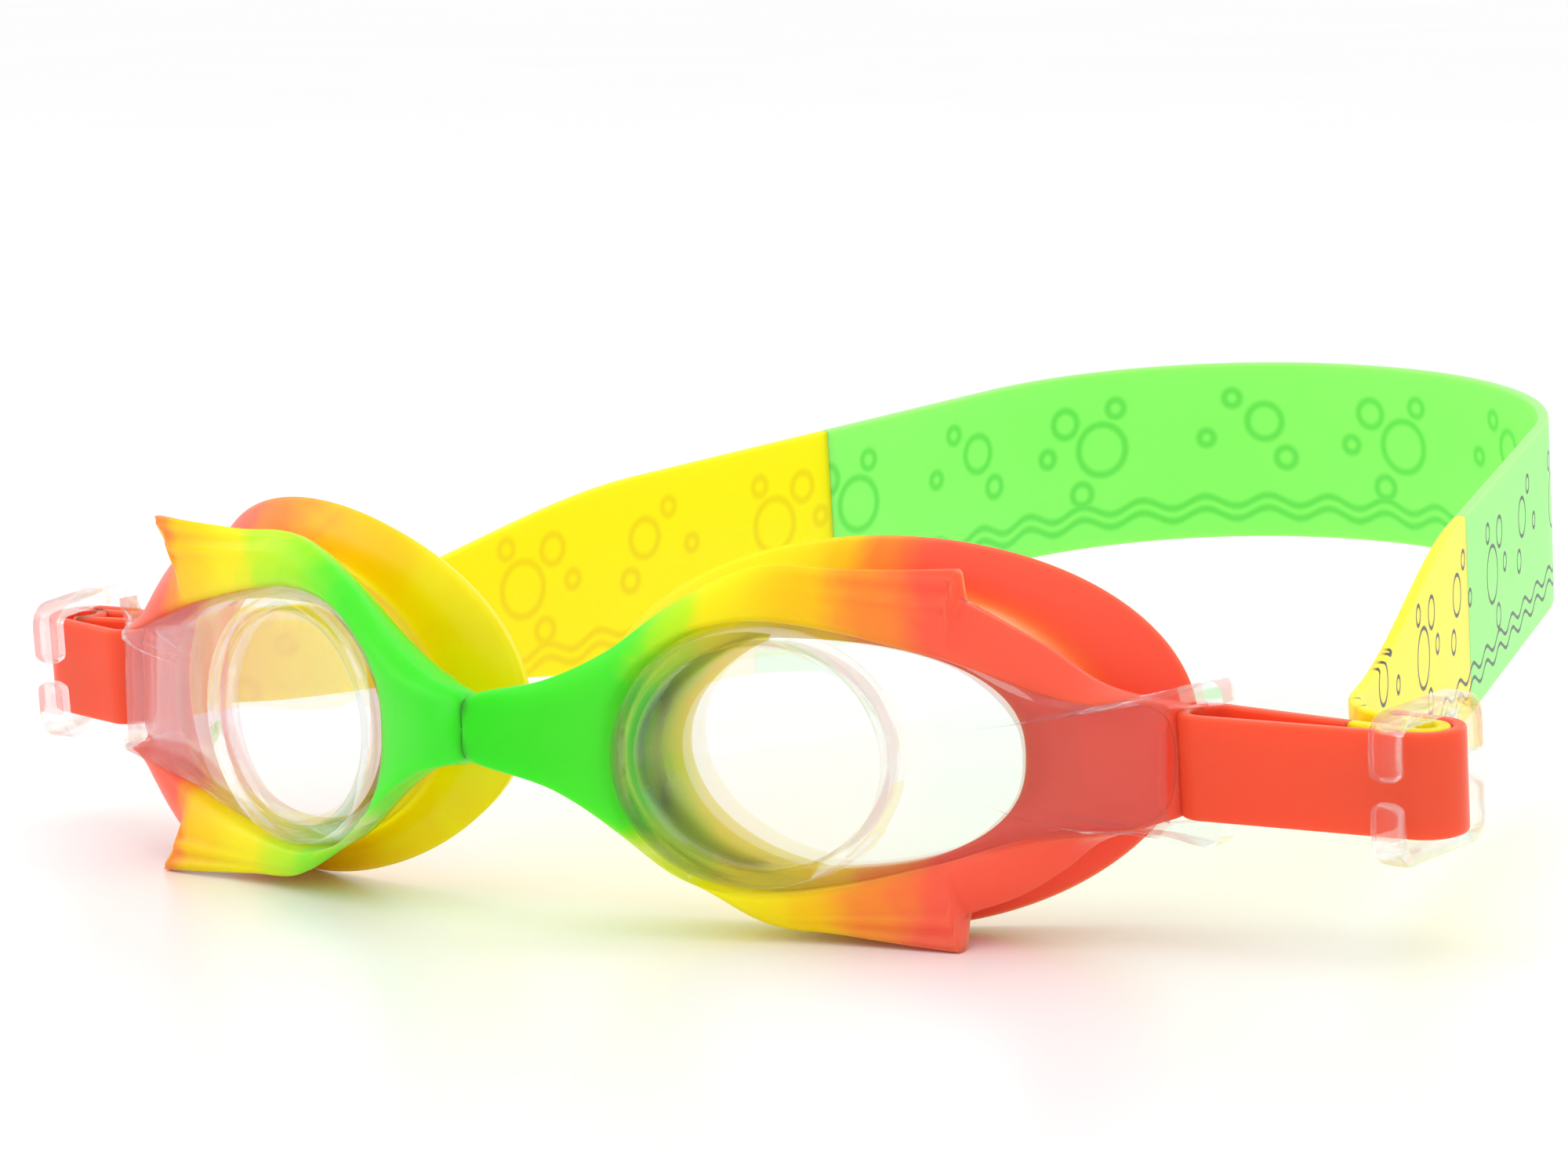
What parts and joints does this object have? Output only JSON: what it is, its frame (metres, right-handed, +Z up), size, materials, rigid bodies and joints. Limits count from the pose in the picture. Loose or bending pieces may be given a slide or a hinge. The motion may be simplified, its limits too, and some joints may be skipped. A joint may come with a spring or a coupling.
{
  "type": "swim goggles",
  "caption": "Children's swim goggles: soft one-piece frame with fish fins, two clear oval lenses with side arms, and an adjustable head strap held by clear clips.",
  "frame": {"origin": "on the table under the middle of the nose bridge's front face", "axes": "+X along the mirror-plane normal towards the right-hand lens, +Y backwards from the lenses to the head strap, +Z up"},
  "size_m": [0.1952, 0.2071, 0.0464],
  "materials": {
    "frame_green": "satin silicone",
    "frame_yellow": "satin silicone",
    "frame_coral": "satin silicone",
    "clear_lens": "clear polycarbonate",
    "clear_clip": "clear polycarbonate",
    "strap_green": "satin silicone",
    "strap_yellow": "satin silicone",
    "strap_coral": "satin silicone"
  },
  "bodies": {
    "frame": {"nose_bridge": "frame_green", "right_bezel": "frame_yellow", "left_bezel": "frame_yellow", "right_face_seal": "frame_coral", "left_face_seal": "frame_coral", "right_lens": "clear_lens", "left_lens": "clear_lens"},
    "strap": {"green_back_band": "strap_green", "right_yellow_band": "strap_yellow", "left_yellow_band": "strap_yellow", "right_tail_run": "strap_coral", "left_tail_run": "strap_coral", "right_rear_run": "strap_coral", "left_rear_run": "strap_coral", "right_arm_loop": "strap_coral", "left_arm_loop": "strap_coral"},
    "right_clip_body": {"right_clip": "clear_clip"},
    "left_clip_body": {"left_clip": "clear_clip"}
  },
  "joints": [
    {"name": "strap_lift", "type": "hinge", "parent": "frame", "child": "strap", "pos_m": [0, 0.03933, 0.0198], "axis": [1, 0, 0], "range_deg": [-7, 16], "deforming": ["right_arm_loop", "left_arm_loop"]},
    {"name": "right_clip_rock", "type": "hinge", "parent": "strap", "child": "right_clip_body", "pos_m": [0.101, 0.04035, 0.01989], "axis": [0, -0.0847, 0.9964], "range_deg": [-10, 10]},
    {"name": "left_clip_rock", "type": "hinge", "parent": "strap", "child": "left_clip_body", "pos_m": [-0.0852, 0.04344, 0.02015], "axis": [0, -0.0847, 0.9964], "range_deg": [-10, 5]}
  ]
}
